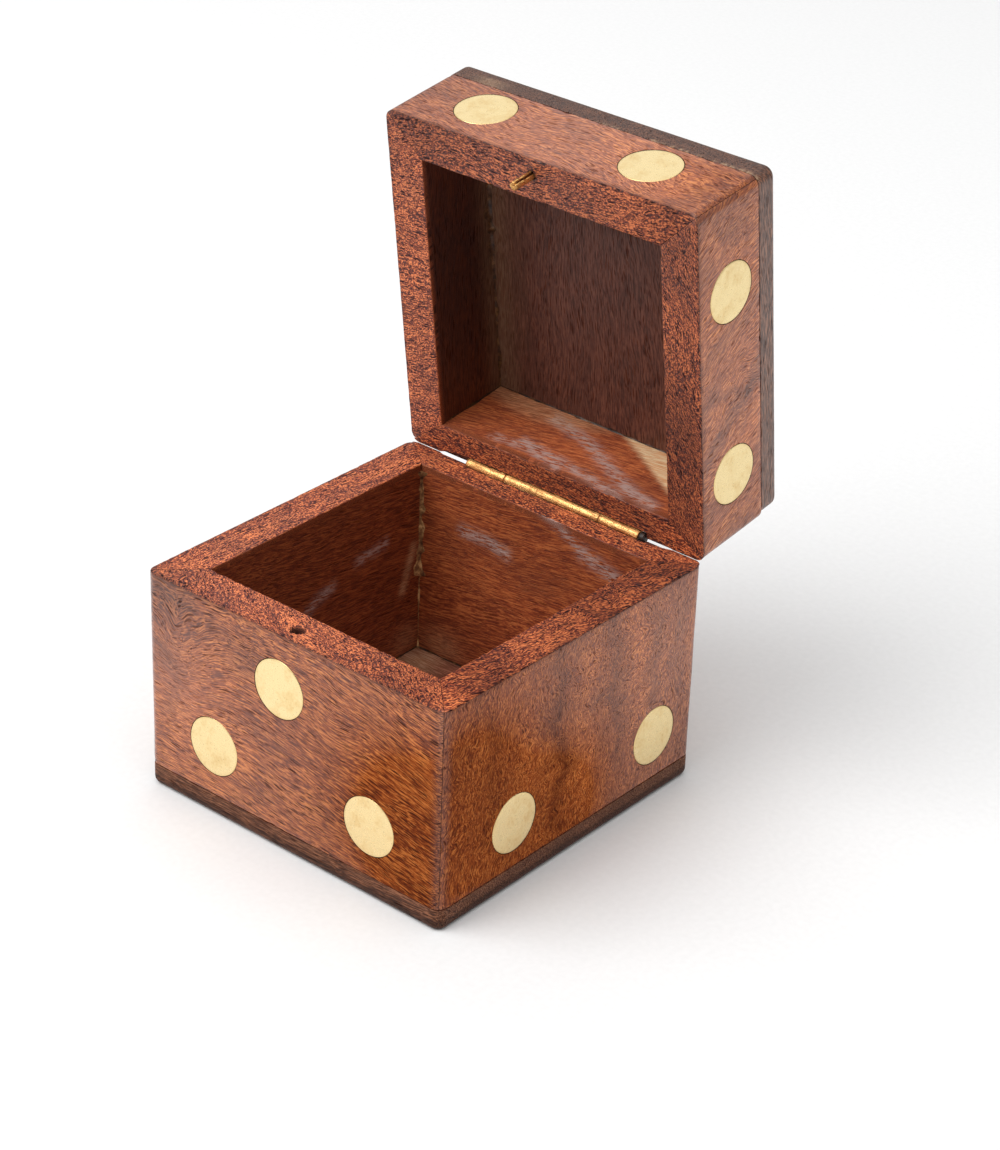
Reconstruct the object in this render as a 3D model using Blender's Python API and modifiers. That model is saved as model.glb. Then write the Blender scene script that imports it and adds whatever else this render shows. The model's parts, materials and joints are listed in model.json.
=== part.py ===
"""Wooden dice box in the form of a die: a mitred base and a hinged lid, inlaid with brass spots.

Metres, +Z up, +X right, the front faces -Y. The origin is the middle of the underside. The lid is
modelled closed and then turned open about its hinge, which runs along the top back edge.
"""

import bmesh
import bpy
from math import radians
from mathutils import Matrix, Vector

MM = 0.001

# Driving dimensions
SIDE = 64.0 * MM            # width and depth of the box
WALL = 7.4 * MM             # front, left and right boards
BACK_WALL = 5.6 * MM        # back boards
BASE_WALL_H = 36.2 * MM
BASE_PANEL = 4.0 * MM
LID_WALL_H = 15.5 * MM
LID_PANEL = 4.4 * MM
RIM_GAP = 0.4 * MM          # between the two rims when the lid is shut
LID_OPEN = radians(82.5)    # from shut to the open stop
CORNER_R = 1.8 * MM         # rounding of the upright outer corners
PANEL_EDGE_R = 1.2 * MM     # rounding of the top and bottom panels' outer edges
LID_PANEL_SHORT = 0.7 * MM  # how far the lid's panel stops short of the lid's back face
JOINT_GAP = 0.2 * MM        # glue line between neighbouring boards

SPOT_D = 10.5 * MM
SPOT_T = 1.6 * MM
SPOT_GAP = 0.1 * MM         # round and under a spot in its recess

BARREL_D = 2.0 * MM
PIN_D = 0.9 * MM
PIN_HEAD_D = 1.8 * MM
PIN_HEAD_L = 1.0 * MM
PIN_CLEARANCE = 0.08 * MM
HINGE_L = 37.5 * MM
MIDDLE_KNUCKLE_L = 20.4 * MM
KNUCKLE_GAP = 0.3 * MM
LEAF_T = 0.6 * MM
LEAF_H = 6.6 * MM           # from the pin's axis to a leaf's free edge
LEAF_GAP = 0.15 * MM        # between a leaf or knuckle and the wood
MORTISE_RUN_OUT = 6.6 * MM  # how far the disc-cut barrel groove tapers past the hinge at each end

NAIL_SHANK_D = 0.8 * MM
NAIL_HEAD_D = 1.7 * MM
NAIL_HEAD_T = 0.3 * MM
NAIL_L = 3.6 * MM
NAIL_X = (-13.0 * MM, 0.0, 13.0 * MM)
NAIL_FROM_AXIS = 4.2 * MM
NAIL_GAP = 0.1 * MM

PEG_D = 1.5 * MM
PEG_ROUNDING = 0.25 * MM    # at its two ends
PEG_OUT = 5.0 * MM          # how far the peg stands out of the lid's rim
PEG_IN = 4.0 * MM           # how deep it is driven
PEG_HOLE_D = 2.0 * MM       # in the base's rim
PEG_HOLE_DEPTH = 5.6 * MM
PEG_AT = Vector((-1.1 * MM, -29.0 * MM))
PEG_GAP = 0.1 * MM

ROUND_STEPS = 32            # sides of a spot
SMALL_STEPS = 20            # sides of a pin or knuckle
HEAD_STEPS = 16             # sides of a nail's head
SHANK_STEPS = 12            # sides of a nail's shank
GROOVE_STEPS = 96           # sides of the large disc that cuts the barrel's groove
CORNER_STEPS = 4
EDGE_STEPS = 3
SMOOTH_ANGLE = radians(35)  # faces that meet at less are shaded smooth
OVERRUN = 2.0 * MM          # how far a cutter runs past what it cuts

# Derived places
HALF = SIDE / 2
RIM_Z = BASE_PANEL + BASE_WALL_H
LID_RIM_Z = RIM_Z + RIM_GAP
LID_TOP_Z = LID_RIM_Z + LID_WALL_H + LID_PANEL
AXIS = Vector((0, HALF, RIM_Z + RIM_GAP / 2))
BARREL_R = BARREL_D / 2
LEAF_Y = AXIS.y - BARREL_R          # the leaves' inner faces are tangent to the barrel
MORTISE_Y = LEAF_Y - LEAF_GAP       # floor of the mortises in the back boards
MID_Z = LID_TOP_Z / 2

# Where the spots sit on each face: two coordinates from the face's middle, seen from outside
SPOT_STEP = 17.0 * MM
FACE_SPOTS = {
    "front": [(-SPOT_STEP, -SPOT_STEP), (SPOT_STEP, -SPOT_STEP), (-2.4 * MM, 0),
              (-SPOT_STEP - MM, SPOT_STEP + 2.2 * MM), (SPOT_STEP - MM, SPOT_STEP + 2.2 * MM)],
    "right": [(-SPOT_STEP + 2.6 * MM, -SPOT_STEP - MM), (SPOT_STEP + 4.2 * MM, -SPOT_STEP - MM),
              (-SPOT_STEP + 2.0 * MM, SPOT_STEP + 1.4 * MM),
              (SPOT_STEP + 2.0 * MM, SPOT_STEP + 1.4 * MM)],
    "left": [(-SPOT_STEP, SPOT_STEP + 1.6 * MM), (0, 0), (SPOT_STEP, -SPOT_STEP)],
    "back": [(-SPOT_STEP - 7 * MM, -SPOT_STEP), (SPOT_STEP + 7 * MM, SPOT_STEP + 2.2 * MM)],
    "top": [(0, 0)],
    "bottom": [(u, v) for u in (-SPOT_STEP, SPOT_STEP) for v in (-SPOT_STEP, 0, SPOT_STEP)],
}
# Each face's middle, and its two directions; their cross product points out of the box
FACE_FRAMES = {
    "front": (Vector((0, -HALF, MID_Z)), Vector((1, 0, 0)), Vector((0, 0, 1))),
    "right": (Vector((HALF, 0, MID_Z)), Vector((0, 1, 0)), Vector((0, 0, 1))),
    "left": (Vector((-HALF, 0, MID_Z)), Vector((0, -1, 0)), Vector((0, 0, 1))),
    "back": (Vector((0, HALF, MID_Z)), Vector((-1, 0, 0)), Vector((0, 0, 1))),
    "top": (Vector((0, 0, LID_TOP_Z)), Vector((1, 0, 0)), Vector((0, 1, 0))),
    "bottom": (Vector((0, 0, 0)), Vector((1, 0, 0)), Vector((0, -1, 0))),
}


def clear_scene():
    for obj in list(bpy.data.objects):
        bpy.data.objects.remove(obj, do_unlink=True)


def new_collection(name):
    collection = bpy.data.collections.new(name)
    bpy.context.scene.collection.children.link(collection)
    return collection


def material(name, colour, roughness, metallic=0.0):
    made = bpy.data.materials.new(name)
    made.use_nodes = True
    shader = made.node_tree.nodes["Principled BSDF"]
    shader.inputs["Base Color"].default_value = (*colour, 1)
    shader.inputs["Roughness"].default_value = roughness
    shader.inputs["Metallic"].default_value = metallic
    return made


def mesh_object(name, bm, collection, mat=None, smooth_angle=None):
    """An object made from a bmesh, which it frees."""
    mesh = bpy.data.meshes.new(name)
    bm.to_mesh(mesh)
    bm.free()
    if smooth_angle:
        mesh.shade_smooth()
        mesh.set_sharp_from_angle(angle=smooth_angle)
    if mat:
        mesh.materials.append(mat)
    obj = bpy.data.objects.new(name, mesh)
    collection.objects.link(obj)
    return obj


def add_box(bm, low, high):
    low, high = Vector(low), Vector(high)
    matrix = Matrix.Translation((low + high) / 2) @ Matrix.Diagonal((*(high - low), 1))
    bmesh.ops.create_cube(bm, size=1, matrix=matrix)


def add_cylinder(bm, start, end, radius, steps=SMALL_STEPS):
    start, end = Vector(start), Vector(end)
    along = end - start
    turn = along.to_track_quat("Z", "Y").to_matrix().to_4x4()
    bmesh.ops.create_cone(
        bm, cap_ends=True, segments=steps, radius1=radius, radius2=radius,
        depth=along.length, matrix=Matrix.Translation((start + end) / 2) @ turn,
    )


def box_object(name, low, high, collection, mat=None):
    bm = bmesh.new()
    add_box(bm, low, high)
    return mesh_object(name, bm, collection, mat)


def cylinder_object(name, start, end, radius, collection, mat=None, steps=SMALL_STEPS):
    bm = bmesh.new()
    add_cylinder(bm, start, end, radius, steps)
    return mesh_object(name, bm, collection, mat, SMOOTH_ANGLE)


def hide_cutter(obj):
    obj.hide_render = True
    obj.display_type = "WIRE"
    return obj


def boolean(target, cutter, operation="DIFFERENCE"):
    modifier = target.modifiers.new(f"{operation.lower()}_{cutter.name}", "BOOLEAN")
    modifier.operation = operation
    modifier.object = cutter
    modifier.solver = "EXACT"


def rounded_block(name, low, high, collection, mat, edge_z=None):
    """A block with its upright corners rounded and, at the height edge_z, its level edges too."""
    bm = bmesh.new()
    add_box(bm, low, high)
    upright = [e for e in bm.edges if abs(e.verts[0].co.z - e.verts[1].co.z) > MM]
    bmesh.ops.bevel(bm, geom=upright, offset=CORNER_R, segments=CORNER_STEPS, profile=0.5,
                    affect="EDGES")
    if edge_z is not None:
        level = [e for e in bm.edges if all(abs(v.co.z - edge_z) < 0.01 * MM for v in e.verts)]
        bmesh.ops.bevel(bm, geom=level, offset=PANEL_EDGE_R, segments=EDGE_STEPS, profile=0.5,
                        affect="EDGES")
    return mesh_object(name, bm, collection, mat, SMOOTH_ANGLE)


def wedge(name, corners, low_z, high_z, collection):
    """An upright prism over a plan outline."""
    bm = bmesh.new()
    face = bm.faces.new([bm.verts.new((x, y, low_z)) for x, y in corners])
    pushed = bmesh.ops.extrude_face_region(bm, geom=[face])
    verts = [v for v in pushed["geom"] if isinstance(v, bmesh.types.BMVert)]
    bmesh.ops.translate(bm, verts=verts, vec=(0, 0, high_z - low_z))
    bmesh.ops.recalc_face_normals(bm, faces=bm.faces)
    return hide_cutter(mesh_object(name, bm, collection))


def board_outline(side):
    """The plan of one mitred board, drawn past its outer face, with half a glue line off each end."""
    inner = {
        "front": (Vector((-HALF + WALL, -HALF + WALL)), Vector((HALF - WALL, -HALF + WALL))),
        "right": (Vector((HALF - WALL, -HALF + WALL)), Vector((HALF - WALL, HALF - BACK_WALL))),
        "back": (Vector((HALF - WALL, HALF - BACK_WALL)), Vector((-HALF + WALL, HALF - BACK_WALL))),
        "left": (Vector((-HALF + WALL, HALF - BACK_WALL)), Vector((-HALF + WALL, -HALF + WALL))),
    }[side]
    points = []
    for corner, other in (inner, inner[::-1]):
        outer = Vector((HALF if corner.x > 0 else -HALF, HALF if corner.y > 0 else -HALF))
        mitre = (outer - corner).normalized()
        inward = (other - corner).normalized()
        shift = inward * (JOINT_GAP / 2 / abs(mitre.cross(inward)))
        start = corner + shift
        points.append((start, start + mitre * ((outer - corner).length + OVERRUN)))
    (a, a_out), (b, b_out) = points
    return [a, b, b_out, a_out]


def make_frame(prefix, low_z, high_z, parts, cutters, wood):
    """Four mitred boards, cut from one block with rounded corners."""
    boards = {}
    for side in ("front", "back", "left", "right"):
        name = f"{prefix}_{side}_wall"
        low, high = (-HALF, -HALF, low_z), (HALF, HALF, high_z)
        board = rounded_block(name, low, high, parts, wood)
        outline = board_outline(side)
        cutter = wedge(f"cut_{name}", outline, low_z - OVERRUN, high_z + OVERRUN, cutters)
        boolean(board, cutter, "INTERSECT")
        boards[side] = board
    return boards


def recess_and_spots(pieces, parts, cutters, brass):
    """Inlays every face's brass spots; returns the names of those that ride on the lid."""
    on_lid = []
    for face, spots in FACE_SPOTS.items():
        middle, across, up = FACE_FRAMES[face]
        out = across.cross(up)
        for number, (u, v) in enumerate(spots, 1):
            centre = middle + across * u + up * v
            lid_side = centre.z > RIM_Z
            name = f"spot_{face}_{number}"
            cylinder_object(name, centre - out * SPOT_T, centre, SPOT_D / 2, parts, brass,
                            ROUND_STEPS)
            depth = out * (SPOT_T + SPOT_GAP)
            recess = cylinder_object(f"cut_{name}", centre - depth, centre + out * OVERRUN,
                                     SPOT_D / 2 + SPOT_GAP, cutters, steps=ROUND_STEPS)
            boolean(pieces[face, lid_side], hide_cutter(recess))
            if lid_side:
                on_lid.append(name)
    return on_lid


def groove_cutter(name, sign, cutters):
    """The barrel's groove along a rim's back edge, with the tapered ends a disc cutter leaves."""
    depth = AXIS.y - MORTISE_Y
    radius = (MORTISE_RUN_OUT ** 2 + depth ** 2) / (2 * depth)
    z_near = AXIS.z - sign * RIM_GAP
    z_far = AXIS.z + sign * (BARREL_R + LEAF_GAP)
    low_z, high_z = min(z_near, z_far), max(z_near, z_far)
    half = HINGE_L / 2
    bm = bmesh.new()
    add_box(bm, (-half, MORTISE_Y, low_z), (half, MORTISE_Y + 2 * radius, high_z))
    groove = hide_cutter(mesh_object(name, bm, cutters))
    for end, x in (("left", -half), ("right", half)):
        disc = cylinder_object(f"{name}_{end}", (x, MORTISE_Y + radius, low_z),
                               (x, MORTISE_Y + radius, high_z), radius, cutters,
                               steps=GROOVE_STEPS)
        boolean(groove, hide_cutter(disc), "UNION")
    return groove


def make_leaf(name, sign, knuckles, parts, cutters, brass):
    """One leaf with its knuckles. sign is -1 for the base's leaf, which hangs down, and +1 for the lid's."""
    half = HINGE_L / 2
    far_z = AXIS.z + sign * LEAF_H
    low = (-half, LEAF_Y, min(AXIS.z, far_z))
    high = (half, LEAF_Y + LEAF_T, max(AXIS.z, far_z))
    leaf = box_object(name, low, high, parts, brass)
    all_spans = knuckle_spans()
    for number, span in enumerate(all_spans):
        if number in knuckles:
            barrel = cylinder_object(f"join_{name}_{number}", (span[0], AXIS.y, AXIS.z),
                                     (span[1], AXIS.y, AXIS.z), BARREL_R, cutters)
            boolean(leaf, hide_cutter(barrel), "UNION")
    for number, span in enumerate(all_spans):
        if number not in knuckles:
            reach = BARREL_R + LEAF_GAP
            gap = box_object(
                f"cut_{name}_{number}",
                (span[0] - KNUCKLE_GAP, AXIS.y - reach - OVERRUN, AXIS.z - reach),
                (span[1] + KNUCKLE_GAP, AXIS.y + reach + OVERRUN, AXIS.z + reach), cutters)
            boolean(leaf, hide_cutter(gap))
    bore = cylinder_object(f"cut_{name}_bore", (-HALF, AXIS.y, AXIS.z), (HALF, AXIS.y, AXIS.z),
                           PIN_D / 2 + PIN_CLEARANCE, cutters)
    boolean(leaf, hide_cutter(bore))
    return leaf


def knuckle_spans():
    half, middle = HINGE_L / 2, MIDDLE_KNUCKLE_L / 2
    return [(-half, -middle - KNUCKLE_GAP), (-middle, middle), (middle + KNUCKLE_GAP, half)]


def make_pin(parts, cutters, steel):
    half = HINGE_L / 2
    pin = cylinder_object("hinge_pin", (-half, AXIS.y, AXIS.z), (half + KNUCKLE_GAP, AXIS.y, AXIS.z),
                          PIN_D / 2, parts, steel)
    head_at = half + KNUCKLE_GAP / 2
    head = cylinder_object("join_pin_head", (head_at, AXIS.y, AXIS.z),
                           (head_at + PIN_HEAD_L, AXIS.y, AXIS.z), PIN_HEAD_D / 2, cutters)
    boolean(pin, hide_cutter(head), "UNION")
    return pin


def make_nail(name, x, z, parts, cutters, brass):
    face_y = LEAF_Y + LEAF_T + NAIL_GAP
    nail = cylinder_object(name, (x, face_y - NAIL_L, z), (x, face_y + NAIL_HEAD_T / 2, z),
                           NAIL_SHANK_D / 2, parts, brass, steps=SHANK_STEPS)
    head = cylinder_object(f"join_{name}", (x, face_y, z), (x, face_y + NAIL_HEAD_T, z),
                           NAIL_HEAD_D / 2, cutters, steps=HEAD_STEPS)
    boolean(nail, hide_cutter(head), "UNION")
    hole = cylinder_object(f"cut_{name}", (x, face_y - NAIL_L - NAIL_GAP, z),
                           (x, face_y + OVERRUN, z), NAIL_SHANK_D / 2 + NAIL_GAP, cutters,
                           steps=SHANK_STEPS)
    return nail, hide_cutter(hole)


def make_hinge(walls, parts, cutters, brass, steel):
    """The butt hinge, its mortises and its nails; returns the names of what rides on the lid."""
    on_lid = []
    for owner, sign, knuckles in (("base", -1, (0, 2)), ("lid", 1, (1,))):
        leaf = make_leaf(f"hinge_{owner}_leaf", sign, knuckles, parts, cutters, brass)
        wall = walls[owner]["back"]
        groove = groove_cutter(f"cut_{owner}_groove", sign, cutters)
        boolean(wall, groove)
        half, far_z = HINGE_L / 2 + LEAF_GAP, AXIS.z + sign * (LEAF_H + LEAF_GAP)
        mortise = box_object(
            f"cut_{owner}_mortise", (-half, MORTISE_Y, min(AXIS.z, far_z)),
            (half, AXIS.y + OVERRUN, max(AXIS.z, far_z)), cutters)
        boolean(wall, hide_cutter(mortise))
        for number, x in enumerate(NAIL_X, 1):
            name = f"hinge_{owner}_nail_{number}"
            nail, hole = make_nail(name, x, AXIS.z + sign * NAIL_FROM_AXIS, parts, cutters, brass)
            boolean(leaf, hole)
            boolean(wall, hole)
            if owner == "lid":
                on_lid.append(nail.name)
        if owner == "lid":
            on_lid.append(leaf.name)
    make_pin(parts, cutters, steel)
    return on_lid


def make_peg(walls, parts, cutters, brass):
    """The closing peg in the lid's rim, and the hole in the base's rim that it drops into."""
    x, y = PEG_AT
    peg = cylinder_object("closing_peg", (x, y, LID_RIM_Z - PEG_OUT), (x, y, LID_RIM_Z + PEG_IN),
                          PEG_D / 2, parts, brass)
    bevel = peg.modifiers.new("rounded_ends", "BEVEL")
    bevel.width = PEG_ROUNDING
    bevel.segments = 2
    bevel.limit_method = "ANGLE"
    bevel.angle_limit = SMOOTH_ANGLE
    driven = cylinder_object("cut_peg_seat", (x, y, LID_RIM_Z - OVERRUN),
                             (x, y, LID_RIM_Z + PEG_IN + PEG_GAP), PEG_D / 2 + PEG_GAP, cutters)
    boolean(walls["lid"]["front"], hide_cutter(driven))
    hole = cylinder_object("cut_peg_hole", (x, y, RIM_Z - PEG_HOLE_DEPTH),
                           (x, y, RIM_Z + OVERRUN), PEG_HOLE_D / 2, cutters)
    boolean(walls["base"]["front"], hide_cutter(hole))
    return peg


def hang_on_hinge(names, cutters):
    """Parents the lid's pieces and their cutters to an empty on the hinge axis, and opens it."""
    pivot = bpy.data.objects.new("lid_pivot", None)
    pivot.location = AXIS
    bpy.context.scene.collection.objects.link(pivot)
    tools = {m.object for name in names for m in bpy.data.objects[name].modifiers
             if m.type == "BOOLEAN"}
    tools |= {m.object for tool in list(tools) for m in tool.modifiers if m.type == "BOOLEAN"}
    for obj in sorted({bpy.data.objects[name] for name in names} | tools, key=lambda o: o.name):
        obj.parent = pivot
        obj.matrix_parent_inverse = Matrix.Translation(-AXIS)
    pivot.rotation_euler.x = -LID_OPEN


def main():
    clear_scene()
    parts = new_collection("dice_box")
    cutters = new_collection("dice_box_cutters")
    cutters.hide_render = True
    wood = material("sheesham", (0.27, 0.09, 0.035), 0.35)
    dark_wood = material("dark_panel_wood", (0.06, 0.032, 0.022), 0.4)
    brass = material("brass", (0.83, 0.62, 0.27), 0.28, 1.0)
    steel = material("dark_steel", (0.12, 0.11, 0.1), 0.5, 1.0)

    walls = {
        "base": make_frame("base", BASE_PANEL + JOINT_GAP / 2, RIM_Z, parts, cutters, wood),
        "lid": make_frame("lid", LID_RIM_Z, LID_TOP_Z - LID_PANEL - JOINT_GAP / 2, parts, cutters,
                          wood),
    }
    base_panel = rounded_block("base_panel", (-HALF, -HALF, 0),
                               (HALF, HALF, BASE_PANEL - JOINT_GAP / 2), parts, dark_wood, 0)
    lid_panel = rounded_block("lid_panel", (-HALF, -HALF, LID_TOP_Z - LID_PANEL + JOINT_GAP / 2),
                              (HALF, HALF - LID_PANEL_SHORT, LID_TOP_Z), parts, dark_wood,
                              LID_TOP_Z)

    pieces = {(side, owner == "lid"): board for owner, boards in walls.items()
              for side, board in boards.items()}
    pieces["bottom", False] = base_panel
    pieces["top", True] = lid_panel

    on_lid = [board.name for board in walls["lid"].values()] + [lid_panel.name]
    on_lid += recess_and_spots(pieces, parts, cutters, brass)
    on_lid += make_hinge(walls, parts, cutters, brass, steel)
    on_lid.append(make_peg(walls, parts, cutters, brass).name)
    hang_on_hinge(on_lid, cutters)


main()
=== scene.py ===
"""Looks of the wooden dice box: mitred boards, inlaid brass spots and a rolled hinge in soft studio light.

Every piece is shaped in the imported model's frame with the lid shut, and the lid's pieces are then turned
to the open rest position. Lengths are in metres, but the tables that place grain and stains, and the grain
coordinates in the materials, are in millimetres.
"""

import json
from collections import namedtuple
from math import atan2, cos, exp, pi, radians, sin, sqrt

import bmesh
import bpy
import numpy as np
from mathutils import Matrix, Vector, noise


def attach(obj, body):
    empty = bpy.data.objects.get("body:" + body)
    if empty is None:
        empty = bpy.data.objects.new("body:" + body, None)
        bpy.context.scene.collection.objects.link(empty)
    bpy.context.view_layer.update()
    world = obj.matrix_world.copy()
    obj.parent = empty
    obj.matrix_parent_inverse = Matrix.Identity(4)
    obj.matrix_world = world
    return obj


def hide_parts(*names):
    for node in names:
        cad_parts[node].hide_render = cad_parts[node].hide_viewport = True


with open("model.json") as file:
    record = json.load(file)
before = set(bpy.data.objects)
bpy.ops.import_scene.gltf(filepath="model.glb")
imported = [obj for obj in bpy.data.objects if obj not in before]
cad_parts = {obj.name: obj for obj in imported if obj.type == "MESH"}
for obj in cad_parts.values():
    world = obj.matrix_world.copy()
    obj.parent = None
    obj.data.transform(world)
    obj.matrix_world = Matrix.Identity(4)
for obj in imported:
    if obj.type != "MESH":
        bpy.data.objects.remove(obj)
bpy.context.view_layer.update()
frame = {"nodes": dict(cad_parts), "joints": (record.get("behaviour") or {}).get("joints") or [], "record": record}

MM = 0.001
X, Y, Z = Vector((1, 0, 0)), Vector((0, 1, 0)), Vector((0, 0, 1))
OWNERS = ("base", "lid")
RISE = {"base": 1, "lid": -1}   # which way each half's rim faces in the shut box

# Camera
AIM = Vector((9.43, 7.25, 39.5)) * MM
DISTANCE = 520.4 * MM
AZIMUTH, ELEVATION, ROLL = radians(39.461), radians(29.338), radians(2.10)
LENS = 100.694              # mm, on a sensor 36 mm along the picture's long side

# The hinge, and where it puts the pieces
JOINT = frame["joints"][0]
PIVOT = Vector(JOINT["pos_m"])
OPENED = (Matrix.Translation(PIVOT) @ Matrix.Rotation(-radians(JOINT["range_deg"][1]), 4, "X")
          @ Matrix.Translation(-PIVOT))
PLACED = {"base": Matrix.Identity(4), "lid": OPENED}


def shut_box(node, body):
    """A CAD node's lowest and highest corners with the lid shut."""
    back = PLACED[body].inverted()
    points = [back @ v.co for v in frame["nodes"][node].data.vertices]
    return Vector(map(min, *points)), Vector(map(max, *points))


# Sizes
HALF = -shut_box("base_front_wall", "base")[0].y
CORNER_R = 1.8 * MM         # upright outer corners
PANEL_EDGE_R = 1.2 * MM
PANEL_LEAST_R = 0.35 * MM   # corners of the rings on a panel's level faces
GLUE_LINE = 0.05 * MM       # half the dark line that shows between two boards
RIM_GROWTH = 0.112 * MM     # how far a seen rim stands past the solid one, which keeps a wider gap
BACK_BURR = 0.06 * MM       # how far a back board's rim leans out, where lid and base meet
BURR_REACH = 0.5 * MM       # and how far round the edge it does so
SPOT_RING = 0.09 * MM       # dark ring round a brass spot
SPOT_BED = 0.1 * MM         # how far a spot's recess goes past its back
LEAF_GAP = 0.15 * MM        # between a leaf or knuckle and the wood
LEAF_THICKNESS = 0.6 * MM
BARREL_R = 1.0 * MM
PIN_BORE_R = 0.53 * MM
SEAM_TURN = radians(110)    # how far a knuckle is rolled past the straight
KNUCKLE_HALF = 10.2 * MM    # half the lid's knuckle
KNUCKLE_SEAM = 0.15 * MM
GROOVE_RUN = 6.6 * MM       # how far the disc-cut groove tapers past the barrel at each end
RUN_OUT_DEPTHS = {"base": (0.32 * MM, 0.45 * MM), "lid": (0.5 * MM, 0.2 * MM)}   # left, right
PIN_HEAD_ROOM = 1.25 * MM
MORTISE_STEP = 0.02 * MM    # how much deeper the mortise is than the groove
NAIL_GAP = 0.1 * MM
NAIL_HOLE_R = 0.5 * MM
PEG_SEAT_R = 0.85 * MM
PEG_CUT = 0.45 * MM         # how far the seen peg stops short of the solid one's end
PEG_X, PEG_V = -1.1, 3.0    # where the peg stands in the lid's front board, in mm
OVERRUN = 2.0 * MM          # how far a cutter stands out of what it cuts

# Radii of a board's edges: outer lower, outer rim, inner rim, inner lower
EDGE_RADII = [r * MM for r in (0.12, 0.25, 0.18, 0.1)]
BACK_EDGE_RADII = [r * MM for r in (0.12, 0.03, 0.18, 0.1)]

# Mesh spacing
ALONG_STEP = 0.5 * MM       # along a board
FACE_STEP, RIM_STEP, INNER_STEP = 0.9 * MM, 0.45 * MM, 1.0 * MM
EDGE_STEPS = 3
ARC_STEPS = 7
PANEL_POINTS = 110          # along a panel's side
BEAD_POINTS = 6             # round a line of glue
LEAST_LEFT = 0.6            # a cut that leaves less of a piece than this has failed

SIDES = {                   # a wall's direction along, and its direction out of the box
    "front": (X, -Y), "right": (Y, X), "back": (-X, Y), "left": (-Y, -X),
}
GOING_ROUND = list(SIDES)
FACE_OUT = {"top": Z, "bottom": -Z, **{side: out for side, (_, out) in SIDES.items()}}
# the CUT material is darker than the wood: painted shade for the cut grooves, notches, holes and recesses
FACE, RIM, INSIDE, CUT = range(4)       # a wall's materials


# ---- meshes

def chance(*place):
    """Smooth noise at three coordinates."""
    return noise.noise(Vector(place))


def bell(x, width):
    """A soft bump: 1 at x = 0, fading away over the width."""
    return (np.exp if isinstance(x, np.ndarray) else exp)(-(x / width) ** 2)


def add_object(name, data):
    obj = bpy.data.objects.new(name, data)
    bpy.context.scene.collection.objects.link(obj)
    return obj


def new_object(name, bm):
    bmesh.ops.recalc_face_normals(bm, faces=bm.faces)
    mesh = bpy.data.meshes.new(name)
    bm.to_mesh(mesh)
    bm.free()
    return add_object(name, mesh)


def join_rings(bm, rings):
    for ring, following in zip(rings, rings[1:]):
        for i in range(len(ring)):
            j = (i + 1) % len(ring)
            bm.faces.new((ring[i], ring[j], following[j], following[i]))


def skin(bm, rings):
    """Joins rings of points, each the same length, into a tube with flat ends."""
    made = [[bm.verts.new(p) for p in ring] for ring in rings]
    join_rings(bm, made)
    bm.faces.new(made[0][::-1])
    bm.faces.new(made[-1])


def tube(name, rings):
    bm = bmesh.new()
    skin(bm, rings)
    return new_object(name, bm)


def facing(place, out, up="Y"):
    """The matrix that stands a shape made along Z at a place, pointing out."""
    return Matrix.Translation(place) @ out.to_track_quat("Z", up).to_matrix().to_4x4()


def cylinder(name, start, end, radius, steps=96):
    bm = bmesh.new()
    along = end - start
    bmesh.ops.create_cone(bm, cap_ends=True, segments=steps, radius1=radius, radius2=radius,
                          depth=along.length, matrix=facing((start + end) / 2, along))
    return new_object(name, bm)


def block(name, low, high, bevel=0.0):
    bm = bmesh.new()
    bmesh.ops.create_cube(bm, size=1, matrix=Matrix.Translation((low + high) / 2)
                          @ Matrix.Diagonal((*(high - low), 1)))
    if bevel:
        bmesh.ops.bevel(bm, geom=list(bm.edges), offset=bevel, segments=3, profile=0.5,
                        affect="EDGES")
    return new_object(name, bm)


def lathe(name, profile, steps, place=Matrix.Identity(4), wobble=None):
    """Turns a profile of (radius, height) about the Z axis of place; the first and last radius are 0."""
    bm = bmesh.new()
    ends = [bm.verts.new(place @ Vector((0, 0, profile[i][1]))) for i in (0, -1)]
    rings = []
    for radius, height in profile[1:-1]:
        ring = []
        for i in range(steps):
            angle = 2 * pi * i / steps
            point = Vector((radius * cos(angle), radius * sin(angle), height))
            if wobble:
                point = wobble(point, angle)
            ring.append(bm.verts.new(place @ point))
        rings.append(ring)
    join_rings(bm, rings)
    for end, ring in zip(ends, (rings[0], rings[-1])):
        for i in range(steps):
            bm.faces.new((end, ring[i], ring[(i + 1) % steps]))
    return new_object(name, bm)


def volume(mesh):
    bm = bmesh.new()
    bm.from_mesh(mesh)
    size = bm.calc_volume()
    bm.free()
    return size


def carve(obj, tools, operation="DIFFERENCE"):
    """Cuts the tools out of obj, or joins them to it, and removes them."""
    before = volume(obj.data)
    for tool in tools:
        modifier = obj.modifiers.new(tool.name, "BOOLEAN")
        modifier.operation = operation
        modifier.object = tool
        modifier.solver = "EXACT"
    bpy.context.view_layer.update()
    graph = bpy.context.evaluated_depsgraph_get()
    mesh = bpy.data.meshes.new_from_object(obj.evaluated_get(graph))
    obj.modifiers.clear()
    obj.data = mesh
    if volume(mesh) < before * LEAST_LEFT:
        raise RuntimeError(f"cutting {tools[0].name} spoiled {obj.name}")
    for tool in tools:
        bpy.data.objects.remove(tool, do_unlink=True)


def add_layers(obj, **layers):
    """Stores numbers or vectors at the vertices, under the names that the materials read."""
    for name, values in layers.items():
        values = np.asarray(values, np.float32)
        kind, field = ("FLOAT_VECTOR", "vector") if values.ndim == 2 else ("FLOAT", "value")
        obj.data.attributes.new(name, kind, "POINT").data.foreach_set(field, values.ravel())


def points_of(obj):
    points = np.zeros(len(obj.data.vertices) * 3)
    obj.data.vertices.foreach_get("co", points)
    return points.reshape(-1, 3)


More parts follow.
